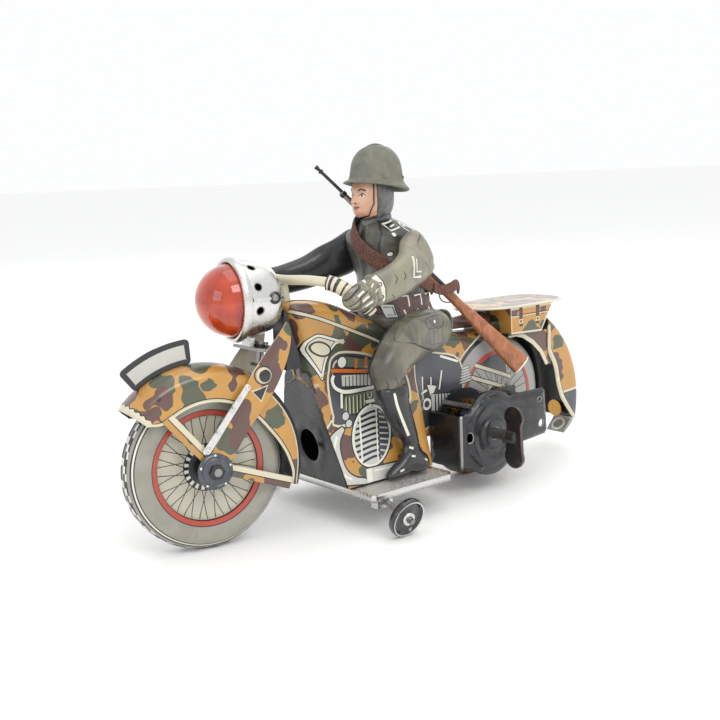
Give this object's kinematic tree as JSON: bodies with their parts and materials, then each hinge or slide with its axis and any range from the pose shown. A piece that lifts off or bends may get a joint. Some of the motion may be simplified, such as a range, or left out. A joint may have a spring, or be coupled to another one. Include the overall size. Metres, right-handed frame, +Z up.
{
  "type": "clockwork tin toy motorcycle with rider",
  "caption": "Clockwork tinplate toy motorcycle with a seated helmeted rider, steering front fork and lamp, footboard, stabiliser wheels, side clockwork and winding key.",
  "frame": {"origin": "on the ground under the middle of the toy's bounding box", "axes": "+X the way the toy drives, +Y to the rider's left, +Z up"},
  "size_m": [0.189, 0.0792, 0.1177],
  "materials": {
    "camo": "glossy printed tinplate",
    "inner_black": "satin black lacquer",
    "tail_grey": "satin",
    "tail_copper": "polished",
    "tail_white": "gloss",
    "saddle_brown": "printed tinplate",
    "nickel": "bright nickel plate",
    "steel": "drawn",
    "stab_black": "gloss black",
    "spring_blue": "blued",
    "key_black": "worn black",
    "brass": "stamped",
    "drive_rubber": "matte",
    "plate_cream": "gloss",
    "stay_print": "printed tinplate",
    "hub_grey": "satin",
    "wheel_print": "printed tinplate",
    "lens_orange": "clear celluloid",
    "bar_cream": "printed tinplate",
    "grip_black": "printed tinplate",
    "uniform": "printed tinplate",
    "sleeve": "printed tinplate",
    "skin": "printed tinplate",
    "helmet_grey": "satin lacquer",
    "rifle_brown": "printed tinplate"
  },
  "bodies": {
    "chassis": {"body_left": "camo", "body_right": "camo", "front_pan": "inner_black", "rear_fender": "camo", "tail_flap": "tail_grey", "tail_lamp": "tail_copper", "tail_ring": "tail_white", "saddle": "saddle_brown", "rack_top": "camo", "pannier_box": "camo", "footboard": "nickel", "stab_bracket": "steel", "stab_axle_left": "steel", "stab_axle_right": "steel", "clock_case": "inner_black", "clock_inner_plate": "inner_black", "clock_pillars": "steel", "mainspring": "spring_blue", "head_bracket": "inner_black", "handlebar": "bar_cream", "bar_post": "bar_cream", "grip_left": "grip_black", "grip_right": "grip_black", "rider_body_left": "uniform", "rider_body_right": "uniform", "rider_arm_left": "sleeve", "rider_arm_right": "sleeve", "rider_head": "skin", "rider_helmet": "helmet_grey", "rifle": "rifle_brown"},
    "fork": {"steering_pin": "steel", "fork_left": "camo", "fork_right": "camo", "fork_links": "nickel", "front_mudguard": "camo", "number_plate": "plate_cream", "mudguard_stays": "stay_print", "front_axle": "steel", "axle_nuts": "hub_grey", "fork_hubs": "hub_grey", "lamp_housing": "nickel", "lamp_rim": "nickel", "lamp_lens": "lens_orange", "lamp_reflector": "nickel", "lamp_bracket": "nickel", "lamp_rivets": "hub_grey"},
    "front_wheel": {"wheel_half_left": "wheel_print", "wheel_half_right": "wheel_print", "wheel_hub": "hub_grey"},
    "stabiliser_left": {"stab_wheel_left": "stab_black"},
    "stabiliser_right": {"stab_wheel_right": "stab_black"},
    "winder": {"winding_arbor": "steel", "winding_key": "key_black", "ratchet_wheel": "steel"},
    "spring_gear": {"great_wheel": "brass", "click": "steel"},
    "drive": {"drive_axle": "steel", "drive_pinion": "brass", "drive_wheel": "drive_rubber"},
    "stop": {"stop_lever": "inner_black"}
  },
  "joints": [
    {"name": "steering", "type": "hinge", "parent": "chassis", "child": "fork", "pos_m": [0.04808, 0, 0.06], "axis": [-0.2079, 0, 0.9781], "range_deg": [-4, 24]},
    {"name": "front_wheel_spin", "type": "hinge", "parent": "fork", "child": "front_wheel", "pos_m": [0.06987, -0.00247, 0.02476], "axis": [0.1699, 0.9848, 0.0361], "continuous": true},
    {"name": "stabiliser_left_spin", "type": "hinge", "parent": "chassis", "child": "stabiliser_left", "pos_m": [0.02408, 0.0366, 0.00635], "axis": [0, 0.9511, -0.309], "continuous": true},
    {"name": "stabiliser_right_spin", "type": "hinge", "parent": "chassis", "child": "stabiliser_right", "pos_m": [0.02408, -0.0366, 0.00635], "axis": [0, 0.9511, 0.309], "continuous": true},
    {"name": "drive_spin", "type": "hinge", "parent": "chassis", "child": "drive", "pos_m": [-0.03892, 0, 0.0145], "axis": [0, 1, 0], "continuous": true},
    {"name": "spring_gear_spin", "type": "hinge", "parent": "chassis", "child": "spring_gear", "pos_m": [-0.02872, 0, 0.0203], "axis": [0, 1, 0], "continuous": true},
    {"name": "key_wind", "type": "hinge", "parent": "chassis", "child": "winder", "pos_m": [-0.02872, 0, 0.0203], "axis": [0, 1, 0], "continuous": true},
    {"name": "stop_lever_turn", "type": "hinge", "parent": "chassis", "child": "stop", "pos_m": [-0.03612, 0.023, 0.0182], "axis": [0, 1, 0], "range_deg": [-12, 22]}
  ],
  "couplings": [
    {"joint": "spring_gear_spin", "follows": "drive_spin", "ratio": -0.22222}
  ]
}
